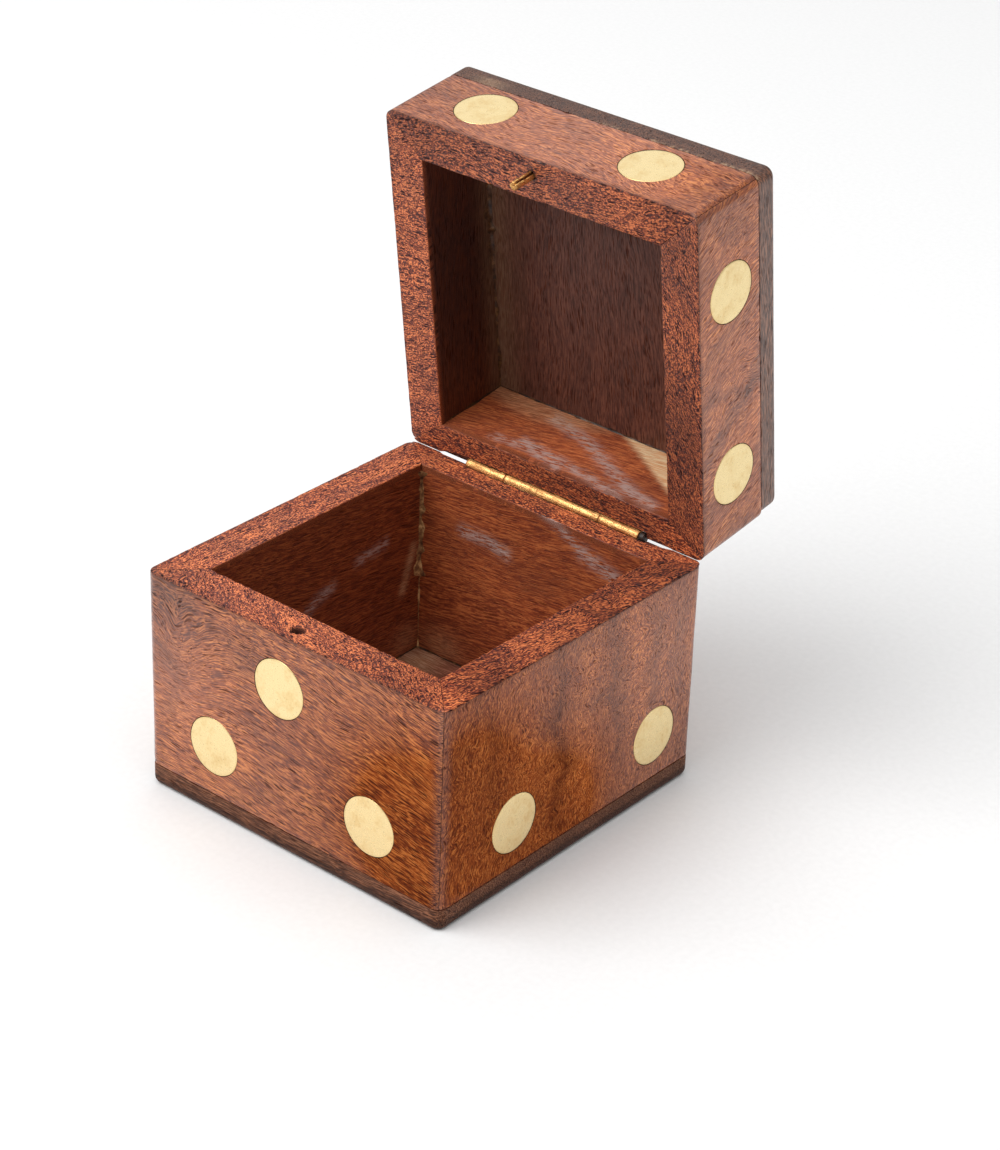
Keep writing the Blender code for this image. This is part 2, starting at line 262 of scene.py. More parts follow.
def faces_of(obj):
    """The middle and normal of each face."""
    found = []
    for what in ("center", "normal"):
        values = np.zeros(len(obj.data.polygons) * 3)
        obj.data.polygons.foreach_get(what, values)
        found.append(values.reshape(-1, 3))
    return found


def finish_piece(obj, body, materials, node, sharp=30, choice=None):
    """Shades, places and parents a piece and hides its CAD part; choice gives each face's place in the list of
    materials.
    """
    for made in materials:
        obj.data.materials.append(made)
    if choice is not None:
        obj.data.polygons.foreach_set("material_index", choice.astype(np.int32))
    obj.data.shade_smooth()
    obj.data.set_sharp_from_angle(angle=radians(sharp))
    obj.data.transform(PLACED[body])
    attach(obj, body)
    if node:
        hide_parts(node)


# ---- boards

def rounded_rectangle(width, height, radii, steps):
    """Points (v, w) with outward normals round a rectangle, from its outer lower corner up and over.

    radii and steps go outer-lower, outer-upper, inner-upper, inner-lower, and outer face, top, inner
    face, underside.
    """
    corners = [(0, 0), (0, height), (width, height), (width, 0)]
    inward = [(1, 1), (1, -1), (-1, -1), (-1, 1)]
    centres = [(c[0] + d[0] * r, c[1] + d[1] * r) for c, d, r in zip(corners, inward, radii)]
    loop = []
    for k in range(4):
        first = pi / 2 * (3 - k)
        following = (k + 1) % 4
        for i in range(EDGE_STEPS + 1):
            angle = first - pi / 2 * i / EDGE_STEPS
            n = (cos(angle), sin(angle))
            loop.append((centres[k][0] + radii[k] * n[0], centres[k][1] + radii[k] * n[1], *n))
        last = loop[-1]
        n = (cos(first - pi / 2), sin(first - pi / 2))
        target = (centres[following][0] + radii[following] * n[0],
                  centres[following][1] + radii[following] * n[1])
        length = sqrt((target[0] - last[0]) ** 2 + (target[1] - last[1]) ** 2)
        count = max(1, round(length / steps[k]))
        for i in range(1, count):
            t = i / count
            loop.append((last[0] + (target[0] - last[0]) * t, last[1] + (target[1] - last[1]) * t,
                         *n))
    return loop


def crumbs(s, seed):
    """How badly an edge is torn at s, from 0 to about 1, in short nicks and a few longer ones."""
    fine = chance(s / (0.7 * MM), seed, 0.3)
    broad = chance(s / (5.0 * MM), seed + 9.1, 0.7)
    return max(0.0, 0.15 + 0.9 * fine) * max(0.15, 0.4 + 1.6 * broad)


class Board:
    """A mitred wall in the shut box: s runs along it, v into the box and w from its panel to its rim."""

    def __init__(self, owner, side):
        self.owner, self.side = owner, side
        self.node, self.key = f"{owner}_{side}_wall", f"{owner} {side}"
        self.along, self.out = SIDES[side]
        low, high = shut_box(self.node, owner)
        self.thickness = abs((high - low).dot(self.out))
        self.rise = RISE[owner]
        joint_z, rim_z = (low.z, high.z)[::self.rise]
        self.joint_z = joint_z - self.rise * GLUE_LINE
        self.height = abs(rim_z - self.joint_z) + RIM_GROWTH

    def at(self, s, v, w):
        return self.out * (HALF - v) + self.along * s + Z * (self.joint_z + self.rise * w)

    def local(self, points):
        """s, v and w of points in the shut box."""
        return (points @ np.array(self.along), HALF - points @ np.array(self.out),
                (points[:, 2] - self.joint_z) * self.rise)


def mitre_arc(own, neighbour):
    """Plan of a board's rounded end: distances along it and into the box, from the mitre inward."""
    step = Vector((neighbour, own)).normalized()
    total = step.x + step.y
    reach = CORNER_R * (total - sqrt(total ** 2 - 1))
    first = atan2(step.y * reach - CORNER_R, step.x * reach - CORNER_R)
    return [(CORNER_R * (1 + cos(a)), CORNER_R * (1 + sin(a)))
            for a in np.linspace(first, -pi / 2, ARC_STEPS)]


def torn_edges(board):
    """The torn edges of a board's profile: corner, way in, depth, reach and a key for the nicks."""
    outer_tear = (0.02 if board.side == "back" else 0.08) * MM
    return [((board.thickness, board.height), (-0.7, -0.7), 0.32 * MM, 0.40 * MM, 1.0),   # inner rim
            ((0, board.height), (0.7, -0.7), outer_tear, 0.25 * MM, 2.0),                # outer rim
            ((0, 0), (0.7, 0.7), 0.20 * MM, 0.25 * MM, 3.0)]                             # by the panel


def unevenness(place, n_v, n_w):
    """How far a sawn rim, a sanded face or a planed inside is out of true, in mm."""
    if n_w > 0.7:
        return 0.03 * noise.noise(place / (1.6 * MM)) + 0.015 * noise.noise(place / (0.6 * MM))
    if n_v < -0.5:
        return 0.035 * noise.noise(place / (9 * MM)) + 0.008 * noise.noise(place / (2 * MM))
    return 0.06 * noise.noise(place / (5 * MM))


def board_mesh(board, thickness, seed):
    """The board's closed surface: its edge profile swept along the outer and inner plan lines."""
    place = GOING_ROUND.index(board.side)
    before, after = thickness[GOING_ROUND[place - 1]], thickness[GOING_ROUND[(place + 1) % 4]]
    own, back = board.thickness, board.side == "back"
    start = [(-HALF + a, v) for a, v in mitre_arc(own, before)]
    end = [(HALF - a, v) for a, v in mitre_arc(own, after)][::-1]
    count = round((end[0][0] - start[-1][0]) / ALONG_STEP)
    middle = [(float(s), 0.0) for s in np.linspace(start[-1][0], end[0][0], count + 1)[1:-1]]
    outer = start + middle + end
    run = [0.0]
    for (s0, v0), (s1, v1) in zip(outer, outer[1:]):
        run.append(run[-1] + sqrt((s1 - s0) ** 2 + (v1 - v0) ** 2))
    inner_start, inner_end = -HALF + before + GLUE_LINE, HALF - after - GLUE_LINE
    loop = rounded_rectangle(own, board.height, BACK_EDGE_RADII if back else EDGE_RADII,
                             (FACE_STEP, RIM_STEP, INNER_STEP, RIM_STEP * 2))
    torn = torn_edges(board)
    rings = []
    for (s_out, v_out), travelled in zip(outer, run):
        t = travelled / run[-1]
        s_out += GLUE_LINE * (1 - 2 * t)
        s_in = inner_start + (inner_end - inner_start) * t
        bites = [depth * crumbs(s_in, seed + key) for _, _, depth, _, key in torn]
        if board.key == "base front":       # torn most towards its left end
            bites[0] *= 1 + bell(s_in + 18 * MM, 9 * MM)
        ring = []
        for v, w, n_v, n_w in loop:
            for (corner, way, _, reach, _), bite in zip(torn, bites):
                near = exp(-((v - corner[0]) ** 2 + (w - corner[1]) ** 2) / reach ** 2)
                v += way[0] * bite * near
                w += way[1] * bite * near
            if back:
                v -= BACK_BURR * exp(-(v ** 2 + (w - board.height) ** 2) / BURR_REACH ** 2)
            rough = unevenness(board.at(s_in, v, w), n_v, n_w)
            v += n_v * rough * MM
            w += n_w * rough * MM
            q = v / own
            ring.append(board.at(s_out + (s_in - s_out) * q, v_out + (own - v_out) * q, w))
        rings.append(ring)
    return tube(f"board_{board.owner}_{board.side}", rings)


def panel_mesh(name, low, high, seed):
    """A panel with rounded upright corners; its outer level edge is rounded and the other one chipped."""
    in_lid = low.z > HALF
    width, depth = (high.x - low.x) / 2, (high.y - low.y) / 2
    centre = (low + high) / 2
    thick = high.z - low.z
    chip, straight = 0.1 * MM, thick - PANEL_EDGE_R
    profile = [(inset * MM, 0.0) for inset in (28, 24, 20, 16, 12, 9, 7, 5, 3, 1.5, 0.6, 0.25, 0.08)]
    profile += [(0.0, chip + (straight - chip) * i / 5) for i in range(6)]
    profile += [(PANEL_EDGE_R * (1 - cos(a)), straight + PANEL_EDGE_R * sin(a))
                for a in np.linspace(0, pi / 2, 8)[1:]]
    profile += [(inset * MM, thick) for inset in (2, 3.5, 5, 7, 10, 13, 16, 20, 24, 28)]
    rings = []
    for inset, down in profile:
        radius = max(CORNER_R - inset, PANEL_LEAST_R)
        arcs = []
        for k, (sx, sy) in enumerate(((1, 1), (-1, 1), (-1, -1), (1, -1))):
            middle = Vector((sx * (width - inset - radius), sy * (depth - inset - radius), 0))
            arcs.append([middle + radius * Vector((cos(a), sin(a), 0))
                         for a in np.linspace(k * pi / 2, (k + 1) * pi / 2, ARC_STEPS)])
        nick = exp(-(down / (0.25 * MM)) ** 2 - (inset / (0.4 * MM)) ** 2)
        ring = []
        for arc, following in zip(arcs, arcs[1:] + arcs[:1]):
            side = [arc[-1].lerp(following[0], i / PANEL_POINTS) for i in range(1, PANEL_POINTS)]
            for point in arc + side:
                p = point + centre
                bite = 0.25 * MM * nick * crumbs(atan2(point.y, point.x) * HALF, seed)
                wave = 0.03 * MM * noise.noise(p / (8 * MM))
                p -= point.normalized() * (bite - wave * (inset < PANEL_EDGE_R))
                level = down + bite + wave * (inset > PANEL_EDGE_R) * (down < thick / 2)
                p.z = low.z + level if in_lid else high.z - level
                ring.append(p)
        rings.append(ring)
    return tube(name, rings)


# ---- materials

class Material:
    """A node material built step by step: add returns its node, the other methods an output socket."""

    def __init__(self, name):
        self.made = bpy.data.materials.new(name)
        self.made.use_nodes = True
        self.tree = self.made.node_tree
        self.shader = self.tree.nodes["Principled BSDF"]

    def plug(self, socket, value):
        if isinstance(value, bpy.types.NodeSocket):
            self.tree.links.new(value, socket)
        else:
            socket.default_value = value

    def add(self, kind, inputs=None, **settings):
        node = self.tree.nodes.new("ShaderNode" + kind)
        for key, value in settings.items():
            setattr(node, key, value)
        for socket, value in (inputs or {}).items():
            self.plug(node.inputs[socket], value)
        return node

    def attribute(self, name, output="Fac"):
        return self.add("Attribute", attribute_name=name).outputs[output]

    def math(self, operation, a, b, clamp=False):
        return self.add("Math", {0: a, 1: b}, operation=operation, use_clamp=clamp).outputs[0]

    def times(self, a, b, clamp=False):
        return self.math("MULTIPLY", a, b, clamp)

    def blend(self, *parts):
        """The sum of values with their weights."""
        total = self.times(*parts[0])
        for part in parts[1:]:
            total = self.math("ADD", total, self.times(*part))
        return total

    def vector(self, operation, a, b):
        return self.add("VectorMath", {0: a, 1: b}, operation=operation).outputs[0]

    def noise(self, where, stretch, detail=3.0, roughness=0.5, output=0):
        scaled = self.vector("MULTIPLY", where, stretch)
        return self.add("TexNoise", {"Vector": scaled, "Scale": 1.0, "Detail": detail,
                                     "Roughness": roughness}).outputs[output]

    def drift(self, where, stretch, detail, reach):
        """A push that wanders to both sides, by up to half of reach."""
        colour = self.noise(where, stretch, detail, output=1)
        return self.vector("MULTIPLY", self.vector("SUBTRACT", colour, (0.5, 0.5, 0.5)), reach)

    def cells(self, where, stretch):
        """Distance to the nearest of scattered points."""
        scaled = self.vector("MULTIPLY", where, stretch)
        return self.add("TexVoronoi", {"Vector": scaled, "Scale": 1.0}).outputs[0]

    def remap(self, value, low, high, to_low=0.0, to_high=1.0):
        return self.add("MapRange", {0: value, 1: low, 2: high, 3: to_low, 4: to_high}).outputs[0]

    def mix(self, share, a, b):
        a, b = ((*c, 1) if isinstance(c, tuple) else c for c in (a, b))
        return self.add("Mix", {0: share, 6: a, 7: b}, data_type="RGBA").outputs[2]

    def ramp(self, value, stops):
        node = self.add("ValToRGB", {0: value})
        elements = node.color_ramp.elements
        while len(elements) < len(stops):
            elements.new(0.5)
        for element, (place, colour) in zip(elements, stops):
            element.position = place
            element.color = (*colour, 1)
        return node.outputs[0]

    def bump(self, height, distance):
        """Relief with a depth in mm."""
        return self.add("Bump", {"Height": height, "Distance": distance * MM, "Strength": 1.0}).outputs[0]

    def set(self, **inputs):
        """Sets or links the shader's inputs; a name's words are joined by underscores."""
        for key, value in inputs.items():
            self.plug(self.shader.inputs[key.replace("_", " ")], value)


def wood(name, colours, pore_colour, rough, coat, coat_rough, pores=0.8, relief=0.05, flecks=0.15,
         stained=False):
    """Open-grained hardwood, read from the grain attribute: x along the grain, the pith at y = z = 0.

    Painted attributes vary it: figure (how much the grain swirls), contrast (how strongly it shows), tint
    (a colour factor), polish (how much of the finish is left) and, on stained wood, wax and bare.
    """
    m = Material(name)
    grain = m.attribute("grain", "Vector")
    swirls = m.add("VectorMath", {0: m.drift(grain, (0.2, 0.2, 0.2), 1.5, (3, 5, 5)),
                                  "Scale": m.attribute("figure")}, operation="SCALE").outputs[0]
    c = grain
    for push in (m.drift(grain, (0.016, 0.05, 0.05), 2.0, (0, 9, 9)),
                 m.drift(grain, (0.12, 0.25, 0.25), 1.0, (0, 0.9, 0.9)), swirls):
        c = m.vector("ADD", c, push)

    across = m.vector("MULTIPLY", c, (0, 1, 1))
    radius = m.add("VectorMath", {0: across}, operation="LENGTH").outputs["Value"]
    rings = m.add("TexNoise", {"W": radius, "Scale": 0.55, "Detail": 4.0, "Roughness": 0.65},
                  noise_dimensions="1D").outputs[0]
    streaks = m.noise(c, (0.03, 0.5, 0.5), 5.0, 0.75)
    fibres = m.noise(c, (0.28, 4.6, 4.6), 1.5, 0.8)
    fleck = m.noise(c, (1.6, 4.6, 4.6), 1.0, 0.6)
    body = m.blend((rings, 0.10), (streaks, 0.13), (fibres, 0.77 - flecks), (fleck, flecks))
    contrast = m.attribute("contrast")
    body = m.times(m.math("SUBTRACT", body, 0.5), contrast)
    colour = m.ramp(m.remap(body, -0.08, 0.08), list(zip((0.0, 0.5, 1.0), colours)))
    smoke = m.noise(grain, (0.05, 0.09, 0.09), 2.0, 0.6)
    colour = m.mix(m.remap(smoke, 0.5, 0.7, 0.0, 0.3), colour, pore_colour)

    crowd = m.remap(m.noise(c, (0.08, 0.45, 0.45), 2.0), 0.32, 0.54, 0.55, 1.0)
    wide = m.remap(m.cells(c, (0.2, 1.9, 1.9)), 0.30, 0.18)
    thin = m.remap(m.cells(m.vector("ADD", c, (7.7, 3.1, 5.9)), (0.4, 3.8, 3.8)), 0.34, 0.20, 0.0, 0.9)
    pore = m.times(m.math("MAXIMUM", wide, thin), crowd)
    colour = m.mix(m.times(m.times(pore, pores), contrast), colour, pore_colour)
    colour = m.vector("MULTIPLY", colour, m.attribute("tint", "Vector"))
    if stained:
        wax_break = m.remap(m.noise(grain, (0.5, 2.4, 2.4), 3.0, 0.75), 0.42, 0.55, 0.0, 1.2)
        wax = m.times(m.attribute("wax"), wax_break, clamp=True)
        colour = m.mix(m.times(wax, 0.85), colour, (0.50, 0.34, 0.30))
        bare_break = m.remap(m.noise(grain, (0.5, 2.0, 2.0), 4.0, 0.65), 0.3, 0.55, 0.8, 1.2)
        bare = m.times(m.attribute("bare"), bare_break, clamp=True)
        bare_colour = m.mix(m.remap(fibres, 0.4, 0.6), (0.85, 0.40, 0.17), (1.0, 0.76, 0.46))
        colour = m.mix(bare, colour, bare_colour)
    sunk = m.times(pore, 0.8)
    polish = m.times(m.attribute("polish"), m.math("SUBTRACT", 1.0, sunk))
    height = m.math("SUBTRACT", m.times(fibres, 0.5), sunk)
    m.set(Base_Color=colour, Roughness=m.remap(fibres, 0.3, 0.7, rough + 0.08, rough - 0.06),
          Specular_IOR_Level=m.times(polish, 0.5), Coat_Weight=m.times(polish, coat),
          Coat_Roughness=coat_rough, Normal=m.bump(height, relief))
    return m.made


def brass(name, colour, tarnish, rough, relief):
    """Brushed and handled brass, with fine scratches, pits and a warmer tarnish in patches and at edges."""
    m = Material(name)
    grain = m.attribute("grain", "Vector")
    patchy = m.noise(grain, (0.35, 0.35, 0.35), 4.0, 0.6)
    fine = m.noise(grain, (2.2, 2.2, 2.2), 3.0, 0.6)
    lines = m.noise(grain, (0.35, 13.0, 2.0), 2.0)
    cross = m.noise(grain, (9.0, 0.5, 2.0), 2.0)
    pits = m.remap(m.cells(grain, (1.7, 1.7, 1.7)), 0.14, 0.05)
    worn = m.remap(m.blend((patchy, 0.7), (fine, 0.3)), 0.5, 0.72)
    tint = m.mix(worn, colour, tarnish)
    tint = m.mix(m.times(m.attribute("edge"), 0.55), tint, tarnish)
    tint = m.mix(m.times(pits, 0.6), tint, (0.12, 0.06, 0.025))
    scratches = m.math("ADD", m.remap(lines, 0.56, 0.7), m.remap(cross, 0.62, 0.74))
    roughness = m.math("ADD", m.remap(patchy, 0.3, 0.7, rough - 0.06, rough + 0.08),
                       m.times(scratches, 0.08))
    height = m.math("SUBTRACT", m.times(fine, 0.5), m.math("ADD", m.times(scratches, 0.5), pits))
    m.set(Base_Color=tint, Metallic=1.0, Roughness=roughness, Normal=m.bump(height, relief))
    return m.made


def steel(name):
    m = Material(name)
    grain = m.attribute("grain", "Vector")
    rust = m.remap(m.noise(grain, (1.5, 1.5, 1.5), 4.0, 0.6), 0.5, 0.7)
    fine = m.noise(grain, (6, 6, 6))
    m.set(Base_Color=m.mix(rust, (0.055, 0.05, 0.047), (0.10, 0.045, 0.025)), Metallic=0.8,
          Roughness=m.remap(fine, 0.3, 0.7, 0.35, 0.6), Normal=m.bump(fine, 0.02))
    return m.made


def glue(name):
    """Dried glue squeezed out of the joints: amber, uneven and a little glossy."""
    m = Material(name)
    grain = m.attribute("grain", "Vector")
    mottle = m.noise(grain, (0.8, 0.8, 0.8), 4.0, 0.6)
    colour = m.ramp(m.remap(mottle, 0.35, 0.65), [(0.0, (0.045, 0.017, 0.008)),
                                                  (0.6, (0.16, 0.07, 0.025)),
                                                  (1.0, (0.36, 0.19, 0.075))])
    m.set(Base_Color=m.vector("MULTIPLY", colour, m.attribute("tint", "Vector")),
          Roughness=m.remap(mottle, 0.3, 0.7, 0.5, 0.3),
          Normal=m.bump(m.noise(grain, (2.5, 2.5, 2.5)), 0.06))
    return m.made


# ---- the pieces

# The grain of each wall: its tilt out of the board's length in degrees, where the pith lies, in mm from the
# middle of the face, across the grain and out of the face, and how many times shorter its fibres are
GRAINS = {
    "base front": (-8, 12, -46, 1.0), "base right": (80, 6, -70, 2.0),
    "base back": (-7, -10, -38, 1.0), "base left": (8, 20, -44, 1.0),
    "lid front": (-4, -16, -40, 1.3), "lid right": (-68, 9, -60, 1.4),
    "lid back": (-9, 14, -42, 1.0), "lid left": (6, -8, -50, 1.0),
}
# The same for their rims: tilt and fibre shortening
RIM_GRAINS = {
    "base front": (25, 2.6), "base right": (17, 1.2), "base back": (3, 1.5),
    "base left": (4, 1.8), "lid front": (5, 1.5), "lid right": (24, 2.0),
    "lid back": (-4, 1.4), "lid left": (-80, 1.8),
}
BENDS = {"base front": 0.0022}      # how fast a board's grain turns along it, per mm
RIM_CONTRAST, PLAIN_CONTRAST = 1.15, 0.9    # how strongly the grain of a rim and of a wall shows
CONTRASTS = {"base front": 1.0, "base right": 0.75, "lid front": 0.7, "lid right": 0.65}
# Where it shows less than on the rest of the board: along it and from its panel, reach, amount
CALMS = {"base front": [(-25, 18, 13, -0.4)], "lid right": [(12, 5, 9, -0.15)]}
# Lighter and darker areas of each wall's face, rim and inside: along it and from its panel in mm, reach in
# mm, and doublings of brightness; those inside are painted light and shade.
TONES = {
    "base front": [(-27, 32, 7, -0.7), (28, 10, 16, -0.4), (-20, 16, 12, 0.35)],
    "base right": [(-22, 16, 12, -0.25), (26, 24, 14, 0.4)],
    "lid front": [(-27, 8, 9, -0.2), (4, 8, 16, 0.15), (26, 8, 8, 0.4)],
    "lid right": [(0, 8, 40, 0.6)],
}
RIM_TONES = {
    "base front": [(-30, 5, -0.3), (-14, 12, 0.2), (22, 9, -0.45)],
    "base right": [(-29, 3, 0.3), (-18, 5, -0.4), (-9, 5, 0.1), (8, 9, -0.5), (26, 8, -0.7),
                   (0, 60, -0.2)],
    "base left": [(0, 12, 0.1), (24, 8, 0.2)],
    "lid front": [(-24, 7, -0.5), (0, 10, -0.1), (27, 5, -0.4), (0, 60, -0.35)],
    "lid right": [(-26, 4, -0.5), (-10, 7, 0.15), (10, 10, -0.5), (0, 60, -0.55)],
    "lid left": [(0, 12, 0.1), (-24, 6, 0.2)],
    "lid back": [(0, 16, -0.4)],
}
# Painted light and shade on the inside faces: the back walls lit more, the left walls, which the lamps hardly
# reach, painted darker
INSIDE_PAINTED_LIGHT_AND_SHADE = {
    "base back": [(0, 20, 40, 0.45)], "base left": [(0, 20, 40, -0.3)],
    "lid back": [(0, 8, 40, 0.6)], "lid left": [(0, 8, 40, -2.4)],
}
# Dark and light veins on the faces: points along and from the panel, a width, and doublings of brightness
VEINS = {
    "base front": [([(-30, 34), (-22, 33), (-12, 30.5), (-2, 30)], 1.3, -0.35),
                   ([(-29, 24), (-24, 17), (-27, 12)], 1.5, -0.35),
                   ([(4, 8), (16, 5), (30, 1)], 2.0, -0.3)],
    "base right": [([(-4, 36), (-4.6, 26), (-3, 14), (-4, 2)], 1.6, -0.6),
                   ([(9, 36), (9.6, 24), (12, 8)], 1.4, -0.5),
                   ([(20, 33), (21, 20), (19, 8)], 1.6, -0.45),
                   ([(-24, 36), (-19.5, 24), (-21, 8)], 1.4, -0.3),
                   ([(27, 36), (26, 24), (28, 10)], 2.0, -0.3),
                   ([(2.5, 34), (3, 20), (3, 4)], 2.6, 0.3), ([(15, 34), (16, 16)], 2.4, 0.35),
                   ([(-13, 34), (-11, 20), (-12, 6)], 3.0, 0.2)],
    "lid right": [([(14, 14), (6.5, 6), (0, -1)], 1.8, -0.7), ([(3, 14), (4.5, 0)], 1.1, -0.5),
                  ([(-4, 14), (-9, 6), (-12, -1)], 1.8, -0.5), ([(24, 14), (18, 0)], 2.0, -0.5),
                  ([(-27, 14), (-20, 8), (-18, 2)], 2.0, 0.35), ([(10, 0), (16, 8)], 2.0, 0.3)],
    "lid front": [([(26, 14), (29, 8), (30, 0)], 2.2, -0.5), ([(-30, 8), (-24, 3)], 2.0, -0.3)],
}
# Where a face has more or less of the finish's gloss than elsewhere
POLISH = {
    "base front": [(30, 11, 17, -2.2), (-28, 20, 12, 0.5)],
    "base right": [(-28, 16, 19, -1.6), (-4, 4, 13, -1.5), (28, 24, 12, 0.5)],
    "lid front": [(28, 5, 9, -0.5), (0, 8, 18, 0.3)], "lid right": [(0, 8, 40, 0.4)],
}
# Where the grain swirls: along and from the panel, reach, amount
FIGURES = {
    "base front": [(-25, 26, 9, 1.0), (-10, 33, 6, 0.4)],
    "base right": [(0, 20, 40, 0.7), (16, 26, 10, 0.5)],
    "lid front": [(22, 9, 8, 0.4)],
    "lid right": [(4, 8, 12, 0.5)],
}
# Places where the grain swells round a hidden knot: along and from the panel, reach, lift, in mm
SWELLS = {
    "base front": [(-25, 25, 8, 5.0), (9, 24, 5, 1.2)],
    "base right": [(20, 26, 7, 4.0), (-4, 20, 9, 3.0), (26, 12, 6, 2.5)],
    "lid front": [(-10, 9, 7, 2.0), (22, 10, 8, 1.6)],
    "lid right": [(2, 6, 6, 2.5)],
}
# Wax smears inside: points along the board and from its panel, and a width, in mm
WAX = {
    "base back": [([(-2, 37), (-6, 35.5), (-12, 32)], 0.8), ([(-11, 32.6), (-19, 30)], 1.3),
                  ([(15, 26.8), (10, 27), (5, 26)], 1.0)],
    "base left": [([(2, 18.5), (0, 20), (-4, 21)], 0.9), ([(-10.5, 23.4), (-17.5, 24.3)], 0.8)],
    "lid back": [([(15, 13), (8, 12.4), (0, 14)], 0.8), ([(10, 11), (-3, 13), (-14, 15)], 0.9),
                 ([(10, 2.5), (1, 5), (-7, 9), (-14, 12.5), (-20, 14)], 1.2)],
}


def patches(table, key, s, w):
    """The sum at each place of a board's round soft patches in a table."""
    total = np.zeros(len(s))
    for at_s, at_w, reach, amount in table.get(key, []):
        total += amount * np.exp(-((s - at_s) ** 2 + (w - at_w) ** 2) / reach ** 2)
    return total


def turned(first, second, angle):
    """Coordinates along and across a direction turned by an angle from the first axis."""
    return first * cos(angle) + second * sin(angle), second * cos(angle) - first * sin(angle)


def tint_of(stops):
    """Colour factors for doublings of brightness; darker wood is also redder."""
    return 2.0 ** (np.asarray(stops)[:, None] * np.array([1.0, 1.15, 1.3]))


def stroke_distance(s, w, points):
    """Distance in mm from each place to a chain of points."""
    nearest = np.full(len(s), 1e9)
    for (s0, w0), (s1, w1) in zip(points, points[1:]):
        ds, dw = s1 - s0, w1 - w0
        t = np.clip(((s - s0) * ds + (w - w0) * dw) / (ds ** 2 + dw ** 2), 0, 1)
        nearest = np.minimum(nearest, np.hypot(s - s0 - t * ds, w - w0 - t * dw))
    return nearest


def bare_wood(key, s, w):
    """Where the finish inside doesn't cover the wood, 0 to 1; s and w in mm."""
    bare = np.zeros(len(s))
    if key == "lid back":
        bare = np.clip((0.56 * (-2.4 - s) - w) / 1.3, 0, 1)
        left = np.clip((6.0 - w - 0.02 * (s - 14) ** 2) / 3.0, 0, 1) * 0.2
        bare = np.maximum(bare, left)
    if key == "lid left":
        bare = 0.10 * bell(w, 2.5)
    if key == "base back":
        bare = 0.15 * np.exp(-((s - 19) / 4.5) ** 2 - ((w - 2) / 3.5) ** 2)
    if key == "base left":
        bare = 0.3 * bell(stroke_distance(s, w, [(-24.6, 20.5), (-22, 13)]), 0.9)
        bare += 0.12 * np.exp(-((s + 23) / 3.0) ** 2 - ((w - 3) / 3.0) ** 2)
    return bare


def board_grain(board, seed, s, v, w, on_rim):
    """Grain coordinates: along the grain, across it and out of the pith."""
    tilt, pith_across, pith_out, shorter = GRAINS[board.key]
    height = board.rise * (w - board.height / MM / 2)
    along, across = turned(s, height, radians(tilt))
    along = along * shorter + 211.0 * seed
    across += BENDS.get(board.key, 0) * s ** 2 + patches(SWELLS, board.key, s, w) - pith_across
    tilt, shorter = RIM_GRAINS[board.key]
    rim_along, rim_across = turned(s, -v, radians(tilt))
    return np.stack([np.where(on_rim, rim_along * shorter + 57.0 * seed, along),
                     np.where(on_rim, rim_across - pith_across, across),
                     np.where(on_rim, height, -v) - pith_out], 1)


def board_tone(board, seed, s, v, w, on_rim):
    """Doublings of brightness on a board's face, rim and inside; those inside are painted light and shade, and the
    darkening towards the upright corners is painted shade.
    """
    on_face = v < 1
    tone = patches(TONES, board.key, s, w) * on_face
    wavy = s + 0.8 * np.sin(w * 0.45 + seed) + 0.5 * np.sin(w * 1.1 + 2 * seed)
    for chain, width, amount in VEINS.get(board.key, []):
        tone += amount * bell(stroke_distance(wavy, w, chain), width) * on_face
    for at_s, reach, amount in RIM_TONES.get(board.key, []):
        tone += on_rim * amount * bell(s - at_s, reach)
    # painted light and shade on the inside faces
    tone += patches(INSIDE_PAINTED_LIGHT_AND_SHADE, board.key, s, w) * (v > board.thickness / MM - 0.5) * ~on_rim
    # painted shade: the outer faces are darker towards the rounded upright corners
    tone -= 0.35 * bell(HALF / MM - np.abs(s), 1.6) * (v < 2.5)
    if board.key == "lid front":        # a dark ring round the peg
        tone -= 1.4 * on_rim * np.exp(-(np.hypot(s - PEG_X, v - PEG_V) / 1.1) ** 4)
    # the rim's outer edge is painted darker, by an amount that wavers along it
    rim_edge_darkening = 0.9 + 0.3 * np.sin(s * 1.7 + seed)       # along the rim's outer edge
    return tone - rim_edge_darkening * bell(np.hypot(w - board.height / MM, v), 0.33)


